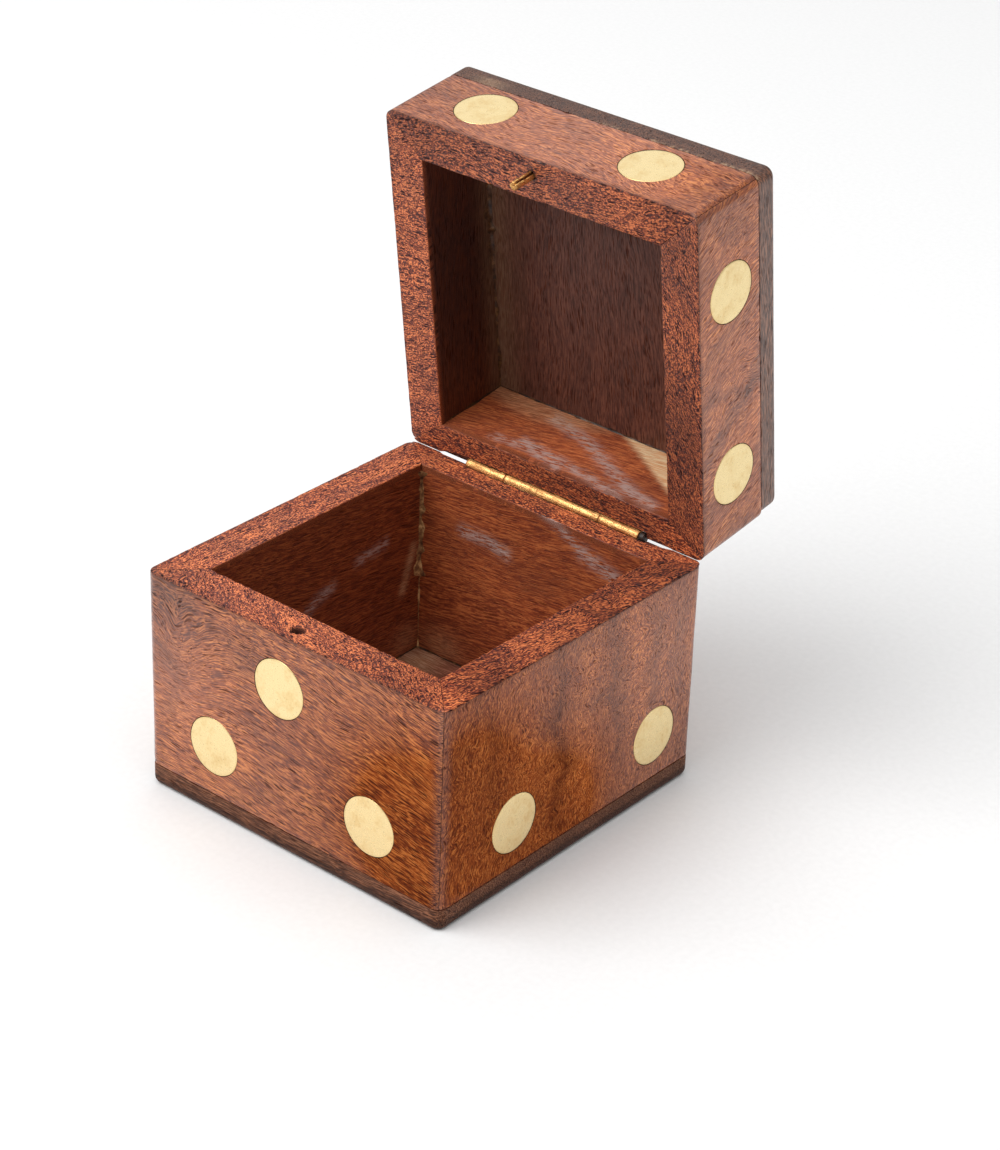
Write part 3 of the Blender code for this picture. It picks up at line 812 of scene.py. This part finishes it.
def paint_board(obj, board, seed):
    """Gives a board its grain, tones (painted light and shade among them) and stains, and returns the choice of
    material for its faces.
    """
    key = board.key
    s, v, w = (values / MM for values in board.local(points_of(obj)))
    on_rim = w > board.height / MM - 0.2
    polish = np.clip(1 + patches(POLISH, key, s, w), 0.04, 1.6)
    polish += 0.7 * bell(HALF / MM - np.abs(s) - 0.6, 0.9)
    contrast = CONTRASTS.get(key, PLAIN_CONTRAST) + patches(CALMS, key, s, w)
    wax = np.zeros(len(s))
    for chain, width in WAX.get(key, []):
        wax = np.maximum(wax, bell(stroke_distance(s, w, chain), width))
    add_layers(obj, grain=board_grain(board, seed, s, v, w, on_rim),
               tint=tint_of(board_tone(board, seed, s, v, w, on_rim)), polish=polish,
               figure=patches(FIGURES, key, s, w), contrast=np.where(on_rim, RIM_CONTRAST, contrast),
               wax=wax, bare=bare_wood(key, s, w))

    middles, normals = faces_of(obj)
    _, v, w = board.local(middles)
    outward, level = normals @ np.array(board.out), normals[:, 2] * board.rise
    # faces that are none of the others, such as groove, notch, hole and recess walls, take the darkened cut
    # material, painted shade
    choice = np.full(len(v), CUT)
    choice[(outward > 0.3) & (v < 0.75 * MM)] = FACE
    choice[(level > 0.6) & (w > board.height - 0.35 * MM)] = RIM
    choice[(outward < -0.3) & (v > board.thickness - 1.0 * MM)] = INSIDE
    return choice


def paint_plain(obj, turn=0.0, shift=(0, 0, 0), edge=0.0):
    """Grain coordinates in mm about the piece's own middle, turned about Z, and the wear at its edge."""
    points = points_of(obj) / MM
    x, y, z = (points - (points.min(0) + points.max(0)) / 2).T
    add_layers(obj, grain=np.stack([*turned(x, y, turn), z], 1) + np.array(shift),
               edge=np.zeros(len(points)) + edge)


def paint_panel(obj, owner, thickness):
    """Gives a panel its grain, along X in the base and along Y in the lid, its tones and its stains.

    Returns the choice of material for its faces: 0 outside and 1 inside.
    """
    x, y, z = points_of(obj).T / MM
    middle = z.mean()
    in_lid = owner == "lid"
    inward = RISE[owner]
    inside = (z - middle) * inward > 0
    paint_plain(obj, turn=pi / 2 * in_lid, shift=(90 + 50 * in_lid, 13, 47))
    if in_lid:
        to_left = x + (HALF - thickness["left"]) / MM
        past_right = x - HALF / MM
        bare = 0.12 * inside * bell(to_left - 1.0, 3.0)
        specks = np.array([chance(a / 0.5, 3.1, 0.7) for a in x])
        chipped = (z - z.min() < 0.15) * (y < -HALF / MM + 0.6) * np.clip((x + 2) / 8, 0, 1)
        bare += 0.25 * chipped * np.clip(specks * 4, 0, 1)
        tone = 0.2 + 1.0 * np.clip(past_right + 1.2, 0, 1)
        polish = 1 + np.clip(past_right + 1.5, 0, 1)
    else:
        bare = 0.22 * inside * np.exp(-((x + 21) / 4) ** 2 - ((y - 22) / 6) ** 2)
        tone = np.where(inside, 1.0, -0.15)
        polish = np.full(len(x), 0.35)
    none = np.zeros(len(x))
    add_layers(obj, tint=tint_of(tone), figure=none, contrast=none + 1, polish=polish, wax=none,
               bare=bare)
    middles, normals = faces_of(obj)
    return (normals[:, 2] * inward > 0.7) & ((middles[:, 2] / MM - middle) * inward > 0)


# ---- spots

Spot = namedtuple("Spot", "node body face centre out radius thickness")


def find_spots():
    """Every brass spot; its centre is the middle of its front, and out points away from the box."""
    bodies = frame["record"]["behaviour"]["bodies"]
    spots = []
    for body in OWNERS:
        for node in sorted(bodies[body]):
            if node.startswith("spot_"):
                face = node.split("_")[1]
                out = FACE_OUT[face]
                low, high = shut_box(node, body)
                size = high - low
                thickness = abs(size.dot(out))
                spots.append(Spot(node, body, face, (low + high) / 2 + out * thickness / 2, out,
                                  max(size) / 2, thickness))
    return spots


def recess_tools(spots, owner, face):
    return [cylinder(f"recess_{spot.node}", spot.centre - spot.out * (spot.thickness + SPOT_BED),
                     spot.centre + spot.out * OVERRUN, spot.radius + SPOT_RING)
            for spot in spots if (spot.body, spot.face) == (owner, face)]


def disc(spot, seed, made):
    """A spot: slightly domed, worn at the edge, with a few dents, and never quite level."""
    dome, bevel, rings = 0.035 * MM, 0.09 * MM, 15
    radius, thick = spot.radius, spot.thickness
    profile = [((radius - bevel) * i / rings, dome * (1 - (i / rings) ** 2)) for i in range(rings)]
    profile += [(radius - bevel, 0.0), (radius - bevel * 0.3, -bevel * 0.3), (radius, -bevel),
                (radius, -thick), (radius * 0.9, -thick), (0.0, -thick)]
    dents = [Vector((chance(seed, k, 0.2), chance(seed, k, 5.4), 0)) * radius * 2 for k in range(5)]
    tilt = Vector((chance(seed, 3.3, 1.1), chance(seed, 7.7, 2.1), 0))

    def wobble(point, _):
        if point.z < -bevel:
            return point
        wave = 0.012 * MM * noise.noise(point / (2.2 * MM) + Vector((seed * 3.1, 0, 0)))
        dent = sum(bell((point.xy - d.xy).length, 0.28 * MM) for d in dents)
        lean = point.dot(tilt) * 0.012
        return point + Z * (wave - 0.03 * MM * dent + lean)

    obj = lathe(spot.node.replace("spot", "disc"), profile, 72, wobble=wobble)
    points = points_of(obj)
    from_middle = np.hypot(points[:, 0], points[:, 1])
    edge = np.clip((from_middle - radius + 0.5 * MM) / (0.5 * MM), 0, 1) ** 2
    paint_plain(obj, turn=seed * 2.4, shift=(seed * 31.0, seed * 17.0, 0), edge=edge)
    obj.data.transform(facing(spot.centre, spot.out))
    finish_piece(obj, spot.body, [made], spot.node, sharp=50)


# ---- hinge

def groove_tools(owner):
    """The cutter for the barrel's groove along the rim's back edge, with its run-outs and the mortise."""
    sign = -RISE[owner]
    low, high = shut_box(f"hinge_{owner}_leaf", owner)
    floor = low.y - LEAF_GAP
    depth = PIVOT.y - floor
    radius = (GROOVE_RUN ** 2 + depth ** 2) / (2 * depth)
    near = PIVOT.z - sign * OVERRUN
    far = PIVOT.z + sign * (BARREL_R + LEAF_GAP)
    groove = block("groove", Vector((low.x - LEAF_GAP, floor, min(near, far))),
                   Vector((high.x + PIN_HEAD_ROOM, PIVOT.y + OVERRUN, max(near, far))))
    joined = [cylinder("run_out", Vector((x, floor + radius, near)),
                       Vector((x, floor + radius, PIVOT.z + sign * run_out)), radius, 160)
              for x, run_out in zip((low.x, high.x), RUN_OUT_DEPTHS[owner])]
    edge = low.z - LEAF_GAP if owner == "base" else high.z + LEAF_GAP
    joined.append(block(
        "mortise", Vector((low.x - LEAF_GAP, floor - MORTISE_STEP, min(PIVOT.z, edge))),
        Vector((high.x + LEAF_GAP, PIVOT.y + 2 * OVERRUN, max(PIVOT.z, edge)))))
    carve(groove, joined, "UNION")
    return [groove]


def nail_tools(owner):
    tools = []
    for number in (1, 2, 3):
        low, high = shut_box(f"hinge_{owner}_nail_{number}", owner)
        middle = (low + high) / 2
        tools.append(cylinder(f"nail_hole_{number}", Vector((middle.x, low.y - NAIL_GAP, middle.z)),
                              Vector((middle.x, high.y + OVERRUN, middle.z)), NAIL_HOLE_R, 24))
    return tools


def knuckle(name, start, end, sign, seed):
    """A length of leaf rolled round the pin, with softened ends and small dents."""
    rolled = 2 * pi + SEAM_TURN
    outer = [(-1.0 * MM, 1.7 * MM), (-1.0 * MM, 0.8 * MM)]
    outer += [(BARREL_R * cos(a), BARREL_R * sin(a)) for a in np.linspace(pi, rolled, 44)]
    inner = [(PIN_BORE_R * cos(a), PIN_BORE_R * sin(a)) for a in np.linspace(rolled, pi, 32)]
    inner += [(-0.42 * MM, 0.75 * MM), (-0.4 * MM, 1.7 * MM)]
    count = max(4, round((end - start) / (0.35 * MM)))
    places = [start + (end - start) * i / count for i in range(count + 1)]
    places[1:1] = [start + 0.05 * MM]
    places[-1:-1] = [end - 0.05 * MM]
    rings = []
    for x in places:
        soft = 0.07 * MM * bell(min(x - start, end - x), 0.06 * MM)
        ring = []
        for y, z in outer:
            p = Vector((x, y, z))
            dent = noise.noise(p / (0.9 * MM) + Vector((seed, 0, 0)))
            bite = soft + 0.022 * MM * dent + 0.05 * MM * max(0, dent - 0.45)
            shrink = 1 - bite / BARREL_R
            ring.append(p if z > MM else Vector((x, y * shrink, z * shrink)))
        ring += [Vector((x, y, z)) for y, z in inner]
        rings.append([Vector((p.x, PIVOT.y + p.y, PIVOT.z + sign * p.z)) for p in ring])
    return tube(name, rings)


def leaf(owner, spans, made, seed):
    """A leaf with its knuckles, each reaching along X over one of the spans."""
    sign = -RISE[owner]
    low, high = shut_box(f"hinge_{owner}_leaf", owner)
    far = low.z if owner == "base" else high.z
    near = PIVOT.z + sign * (BARREL_R + LEAF_GAP)
    plate = block(f"leaf_{owner}", Vector((low.x, low.y, min(near, far))),
                  Vector((high.x, low.y + LEAF_THICKNESS, max(near, far))), bevel=0.08 * MM)
    rolls = [knuckle(f"roll_{i}", a, b, sign, seed + i) for i, (a, b) in enumerate(spans)]
    carve(plate, rolls, "UNION")
    carve(plate, nail_tools(owner))
    paint_plain(plate, shift=(seed * 40, 0, 0))
    finish_piece(plate, owner, [made], f"hinge_{owner}_leaf", sharp=35)


def nail(owner, number, made):
    node = f"hinge_{owner}_nail_{number}"
    low, high = shut_box(node, owner)
    middle = (low + high) / 2
    head, cap, length = (high.x - low.x) / 2, 0.3 * MM, high.y - low.y
    profile = [(0.0, 0.0)] + [(head * sin(a), -cap * (1 - cos(a)) * 0.75)
                              for a in np.linspace(0.25, pi / 2, 6)]
    profile += [(head * 0.97, -cap), (0.4 * MM, -cap), (0.38 * MM, -length + 0.7 * MM),
                (0.12 * MM, -length + 0.08 * MM), (0.0, -length)]
    obj = lathe(f"nail_{owner}_{number}", profile, 32,
                facing(Vector((middle.x, high.y, middle.z)), Y, "X"))
    paint_plain(obj, shift=(number * 9.0, 0, 3.0 * number))
    finish_piece(obj, owner, [made], node, sharp=40)


def pin(made):
    low, high = shut_box("hinge_pin", "base")
    length = high.x - low.x
    head, rod = 0.9 * MM, 0.45 * MM
    profile = [(0.0, 0.0), (head * 0.75, 0.0), (head * 0.93, -0.05 * MM), (head, -0.16 * MM),
               (head, -0.85 * MM), (head * 0.92, -0.97 * MM), (rod, -0.98 * MM),
               (rod, -length + 0.1 * MM), (rod * 0.7, -length), (0.0, -length)]
    obj = lathe("pin", profile, 40, facing(Vector((high.x, PIVOT.y, PIVOT.z)), X))
    paint_plain(obj)
    finish_piece(obj, "base", [made], "hinge_pin", sharp=40)


# ---- closing peg

def peg(made):
    """The closing peg: a cut length of brass wire with two grooves down it and a ragged end."""
    low, high = shut_box("closing_peg", "lid")
    low.z += PEG_CUT
    middle = (low + high) / 2
    length = high.z - low.z
    radius = (high.x - low.x) / 2
    stations = 44
    profile = [(0.0, 0.25 * MM), (radius * 0.35, 0.16 * MM), (radius * 0.7, 0.08 * MM),
               (radius * 0.9, 0.09 * MM)]
    profile += [(radius, length * (0.02 + 0.96 * i / stations)) for i in range(stations + 1)]
    profile += [(radius * 0.8, length), (0.0, length)]

    def wobble(point, angle):
        near_end = bell(point.z, 0.5 * MM)
        split = bell(angle - 5.25, 0.28) + 0.6 * bell(angle - 3.9, 0.25)
        share = min(1.0, point.xy.length / radius)
        rough = noise.noise(point / (0.45 * MM))
        shrink = 1 - (0.42 + 0.1 * near_end) * split * share + 0.12 * rough * share
        height = point.z + near_end * 0.22 * MM * chance(2 * cos(angle), 2 * sin(angle), 4)
        return Vector((point.x * shrink, point.y * shrink, max(0.02 * MM, height)))

    obj = lathe("peg", profile, 48, Matrix.Translation(Vector((middle.x, middle.y, low.z))), wobble)
    points = points_of(obj)
    share = np.hypot(points[:, 0] - middle.x, points[:, 1] - middle.y) / radius
    hollow = np.clip((0.93 - share) / 0.15, 0, 1) * (points[:, 2] > low.z + 0.4 * MM)
    paint_plain(obj, shift=(5, 5, 0), edge=1.8 * hollow)
    finish_piece(obj, "lid", [made], "closing_peg", sharp=60)


def peg_seat_tool():
    low, high = shut_box("closing_peg", "lid")
    middle = (low + high) / 2
    return cylinder("peg_seat", Vector((middle.x, middle.y, low.z)),
                    Vector((middle.x, middle.y, high.z + 0.1 * MM)), PEG_SEAT_R, 48)


def peg_hole_tool():
    """The hole in the base's rim, torn at its mouth."""
    low, high = shut_box("closing_peg", "lid")
    middle = (low + high) / 2
    rim = shut_box("base_front_wall", "base")[1].z
    rings = []
    for depth, radius in ((5.6, 0.2), (5.5, 0.95), (2.0, 1.0), (0.9, 1.0), (0.45, 1.05), (0.2, 1.12),
                          (0.05, 1.25), (-0.3, 1.45)):
        ring = []
        for i in range(40):
            angle = 2 * pi * i / 40
            torn = chance(2.2 * cos(angle), 2.2 * sin(angle), depth)
            wide = radius + max(0, 1.2 - depth) * 0.28 * torn
            ring.append(Vector((middle.x + wide * cos(angle) * MM, middle.y + wide * sin(angle) * MM,
                                rim - depth * MM)))
        rings.append(ring)
    return tube("peg_hole", rings)


# ---- glue

def bead(bm, start, end, first, second, width, seed):
    """A fillet of crumbly glue along a corner; width gives its size at each share of the way.

    Returns how many points it adds.
    """
    length = (end - start).length
    count = max(8, round(length / (0.4 * MM)))
    sunk = -0.06 * MM
    rings = []
    for i in range(count + 1):
        middle = start.lerp(end, i / count)
        place = length / (2.2 * MM) * i / count
        size = width(i / count)
        a = size * (0.35 + 1.3 * max(0, chance(place, seed, 0.4) + 0.15))
        b = size * (0.35 + 1.3 * max(0, chance(place, seed, 7.4) + 0.15))
        swell = 0.22 + 0.2 * chance(place * 1.9, seed, 3.3)
        rings.append([middle + first * sunk + second * sunk, middle + first * a + second * sunk,
                      middle + first * a * 0.5 + second * b * swell * 0.6,
                      middle + first * a * swell + second * b * swell,
                      middle + first * a * swell * 0.5 + second * b * 0.55,
                      middle + first * sunk + second * b])
    skin(bm, rings)
    return (count + 1) * BEAD_POINTS


def drip_width(share):
    """The thick run of glue in the base's back left corner, which ends in a blob."""
    return (0.35 + 0.9 * (share > 0.42) + bell(share - 0.45, 0.04)) * MM


def smear_width(share):
    """The wide smear of glue along the lid's left wall, from its back corner to its front one."""
    return (0.5 + 1.2 * bell(share - 0.62, 0.26)) * MM


def glue_lines(owner, made, thickness):
    """Glue up a half's four inside corners and round its panel."""
    rise = RISE[owner]
    low, high = shut_box(f"{owner}_panel", owner)
    floor = high.z if owner == "base" else low.z
    rim = shut_box(f"{owner}_front_wall", owner)[rise > 0].z
    left, right = -HALF + thickness["left"], HALF - thickness["right"]
    front, back = -HALF + thickness["front"], HALF - thickness["back"]
    corners = [Vector((x, y, floor))
               for x, y in ((left, front), (right, front), (right, back), (left, back))]
    up = Z * rise
    bm = bmesh.new()
    shades = []
    for k, corner in enumerate(corners):
        following = corners[(k + 1) % 4]
        into = [(corners[k - 1] - corner).normalized(), (following - corner).normalized()]
        top = corner + up * (abs(rim - floor) - 1.2 * MM)
        dripping = owner == "base" and k == 3
        width, shade = (drip_width, 1.0) if dripping else (lambda share: 0.5 * MM, -1.6)
        shades += [shade] * bead(bm, corner, top, *into, width, 3.7 * k + (rise > 0))
        smeared = owner == "lid" and k == 3
        width, shade = (smear_width, -0.8) if smeared else (lambda share: 0.45 * MM, -1.4)
        shades += [shade] * bead(bm, corner, following, into[0], up, width,
                                 5.3 * k + 2 + (rise > 0))
    obj = new_object(f"glue_{owner}", bm)
    paint_plain(obj)
    add_layers(obj, tint=tint_of(shades))
    finish_piece(obj, owner, [made], None, sharp=50)


# ---- assembly

def wall_materials():
    """A wall's materials, in the order FACE, RIM, INSIDE, CUT; the CUT one is darkened, painted shade for grooves,
    notches, holes and recesses.
    """
    return [
        wood("wall_face", ((0.14, 0.026, 0.007), (0.34, 0.074, 0.014), (0.64, 0.20, 0.045)),
             (0.075, 0.018, 0.009), rough=0.45, coat=0.45, coat_rough=0.16, pores=1.0),
        wood("wall_rim", ((0.07, 0.014, 0.011), (0.32, 0.054, 0.019), (0.90, 0.26, 0.085)),
             (0.045, 0.014, 0.016), rough=0.65, coat=0.05, coat_rough=0.4, pores=0.95, relief=0.11,
             flecks=0.45),
        wood("wall_inside", ((0.14, 0.021, 0.006), (0.28, 0.056, 0.015), (0.45, 0.12, 0.034)),
             (0.07, 0.016, 0.008), rough=0.55, coat=0.12, coat_rough=0.35, pores=0.45, stained=True),
        # painted shade: the cut faces of grooves, notches, holes and recesses are coloured much darker than the
        # wood
        wood("wall_cut", ((0.05, 0.012, 0.007), (0.12, 0.03, 0.014), (0.2, 0.06, 0.03)),
             (0.03, 0.01, 0.008), rough=0.75, coat=0.0, coat_rough=0.5),
    ]


def panel_materials():
    """A panel's materials, outside and inside."""
    return [
        wood("panel_outside", ((0.03, 0.009, 0.004), (0.07, 0.022, 0.009), (0.15, 0.052, 0.022)),
             (0.02, 0.006, 0.003), rough=0.5, coat=0.2, coat_rough=0.25, pores=0.6, stained=True),
        wood("panel_inside", ((0.055, 0.014, 0.007), (0.10, 0.027, 0.014), (0.16, 0.050, 0.027)),
             (0.035, 0.010, 0.006), rough=0.6, coat=0.08, coat_rough=0.4, pores=0.35, stained=True),
    ]


def build_box():
    thickness = {side: Board("base", side).thickness for side in SIDES}
    walls, panels = wall_materials(), panel_materials()
    spot_brass = brass("spot_brass", (0.93, 0.74, 0.39), (0.80, 0.56, 0.24), 0.27, 0.010)
    hinge_brass = brass("hinge_brass", (0.95, 0.53, 0.20), (0.46, 0.18, 0.05), 0.40, 0.08)
    peg_brass = brass("peg_brass", (0.85, 0.47, 0.16), (0.20, 0.08, 0.03), 0.33, 0.08)
    pin_steel = steel("pin_steel")
    dried_glue = glue("dried_glue")

    spots = find_spots()
    for owner_index, owner in enumerate(OWNERS):
        for side_index, side in enumerate(SIDES):
            seed = 3.7 * side_index + 17.3 * owner_index + 1
            board = Board(owner, side)
            obj = board_mesh(board, thickness, seed)
            if side == "back":
                carve(obj, groove_tools(owner))
                carve(obj, nail_tools(owner))
            recesses = recess_tools(spots, owner, side)
            if side == "front":
                recesses.append(peg_hole_tool() if owner == "base" else peg_seat_tool())
            carve(obj, recesses)
            choice = paint_board(obj, board, seed)
            finish_piece(obj, owner, walls, board.node, choice=choice)

        low, high = shut_box(f"{owner}_panel", owner)
        panel = panel_mesh(f"panel_{owner}", low, high, 8.0 + owner_index)
        carve(panel, recess_tools(spots, owner, "bottom" if owner == "base" else "top"))
        choice = paint_panel(panel, owner, thickness)
        finish_piece(panel, owner, panels, f"{owner}_panel", choice=choice)
        glue_lines(owner, dried_glue, thickness)

    for index, spot in enumerate(spots):
        disc(spot, 1.37 * (index + 1), spot_brass)

    low, high = shut_box("hinge_base_leaf", "base")
    outer_knuckle = KNUCKLE_HALF + KNUCKLE_SEAM
    leaf("base", [(low.x, -outer_knuckle), (outer_knuckle, high.x)], hinge_brass, 2.0)
    leaf("lid", [(-KNUCKLE_HALF, KNUCKLE_HALF)], hinge_brass, 6.0)
    for owner in OWNERS:
        for number in (1, 2, 3):
            nail(owner, number, hinge_brass)
    pin(pin_steel)
    peg(peg_brass)


# ---- studio

def make_camera():
    back = Vector((sin(AZIMUTH) * cos(ELEVATION), -cos(AZIMUTH) * cos(ELEVATION), sin(ELEVATION)))
    right = (-back).cross(Z).normalized()
    up = right.cross(-back)
    across = right * cos(ROLL) + up * sin(ROLL)
    upward = back.cross(across)
    data = bpy.data.cameras.new("camera")
    data.lens = LENS
    data.sensor_width = 36
    data.clip_start, data.clip_end = 0.01, 20
    camera = add_object("camera", data)
    camera.matrix_world = (Matrix.Translation(AIM + back * DISTANCE)
                           @ Matrix((across, upward, back)).transposed().to_4x4())
    bpy.context.scene.camera = camera


def softbox(name, place, size, watts):
    data = bpy.data.lights.new(name, "AREA")
    data.shape = "SQUARE"
    data.size = size
    data.energy = watts
    lamp = add_object(name, data)
    lamp.location = place
    lamp.rotation_euler = (Vector((0, 0, 0.04)) - Vector(place)).to_track_quat("-Z", "Y").to_euler()


def make_studio():
    world = bpy.data.worlds.new("studio")
    world.use_nodes = True
    background = world.node_tree.nodes["Background"]
    background.inputs["Color"].default_value = (1, 1, 1, 1)
    background.inputs["Strength"].default_value = 0.28
    bpy.context.scene.world = world
    bpy.context.scene.view_settings.view_transform = "Standard"
    softbox("key", (-0.45, -0.70, 1.05), 1.1, 14)
    softbox("top_back", (-0.7, 0.7, 0.95), 1.2, 3.5)
    softbox("overhead", (0.35, -0.05, 1.2), 1.4, 8)

    bm = bmesh.new()
    bmesh.ops.create_grid(bm, x_segments=1, y_segments=1, size=3)
    floor = new_object("floor", bm)
    m = Material("floor_white")
    speck = m.noise(m.add("TexCoord").outputs["Object"], (900, 900, 900), 2.0)
    m.set(Base_Color=m.ramp(speck, [(0.3, (0.87, 0.87, 0.87)), (0.7, (0.9, 0.9, 0.9))]), Roughness=0.8)
    floor.data.materials.append(m.made)


build_box()
make_camera()
make_studio()
bpy.context.view_layer.update()
